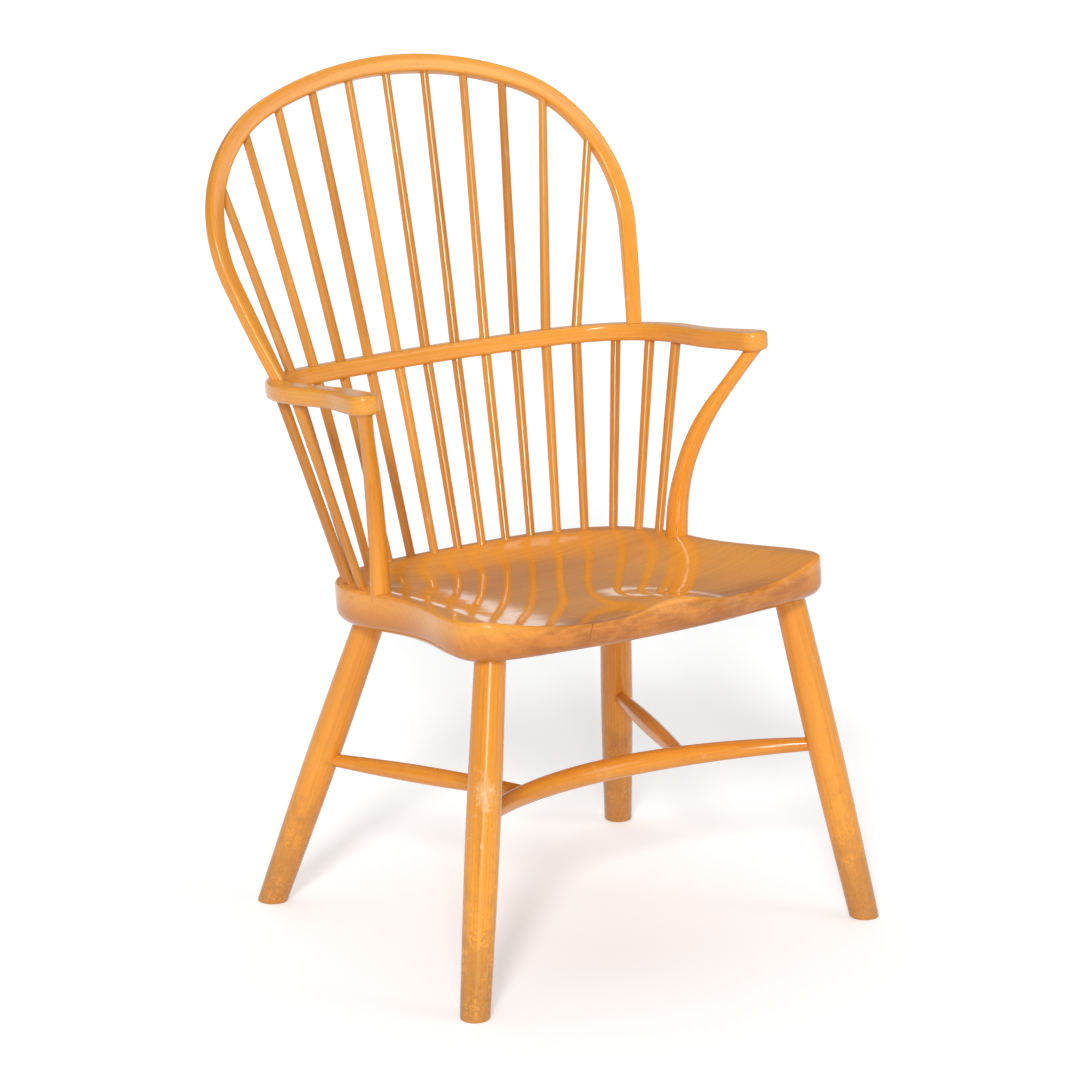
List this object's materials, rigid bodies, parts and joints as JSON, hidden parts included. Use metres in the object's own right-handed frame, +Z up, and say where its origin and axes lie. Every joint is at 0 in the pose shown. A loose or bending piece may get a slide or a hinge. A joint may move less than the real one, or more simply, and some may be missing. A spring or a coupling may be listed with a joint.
{
  "type": "windsor armchair",
  "caption": "Wooden double bow armchair: a dished solid seat, splayed turned legs with bent stretcher, and a spindle back held by an arm bow and a tall bent hoop.",
  "frame": {"origin": "on the floor, under the middle of the chair's outline seen from above", "axes": "+Z up, -Y the way the sitter faces, +X the sitter's left"},
  "size_m": [0.6366, 0.6514, 1.038],
  "materials": {
    "seat_wood": "clear gloss lacquer, worn along the front edge",
    "bent_wood": "clear satin to gloss lacquer",
    "turned_wood": "clear satin lacquer, worn bare at the feet",
    "spindle_wood": "clear gloss lacquer"
  },
  "bodies": {
    "root": {"arm_bow": "bent_wood", "arm_post_left": "turned_wood", "arm_post_right": "turned_wood", "arm_spindle_left_1": "spindle_wood", "arm_spindle_left_2": "spindle_wood", "arm_spindle_left_3": "spindle_wood", "arm_spindle_right_1": "spindle_wood", "arm_spindle_right_2": "spindle_wood", "arm_spindle_right_3": "spindle_wood", "back_hoop": "bent_wood", "leg_back_left": "turned_wood", "leg_back_right": "turned_wood", "leg_front_left": "turned_wood", "leg_front_right": "turned_wood", "seat": "seat_wood", "spindle_01": "spindle_wood", "spindle_02": "spindle_wood", "spindle_03": "spindle_wood", "spindle_04": "spindle_wood", "spindle_05": "spindle_wood", "spindle_06": "spindle_wood", "spindle_07": "spindle_wood", "spindle_08": "spindle_wood", "spindle_09": "spindle_wood", "spindle_10": "spindle_wood", "spindle_11": "spindle_wood", "spur_left": "turned_wood", "spur_right": "turned_wood", "stretcher_bow": "turned_wood"}
  },
  "joints": []
}
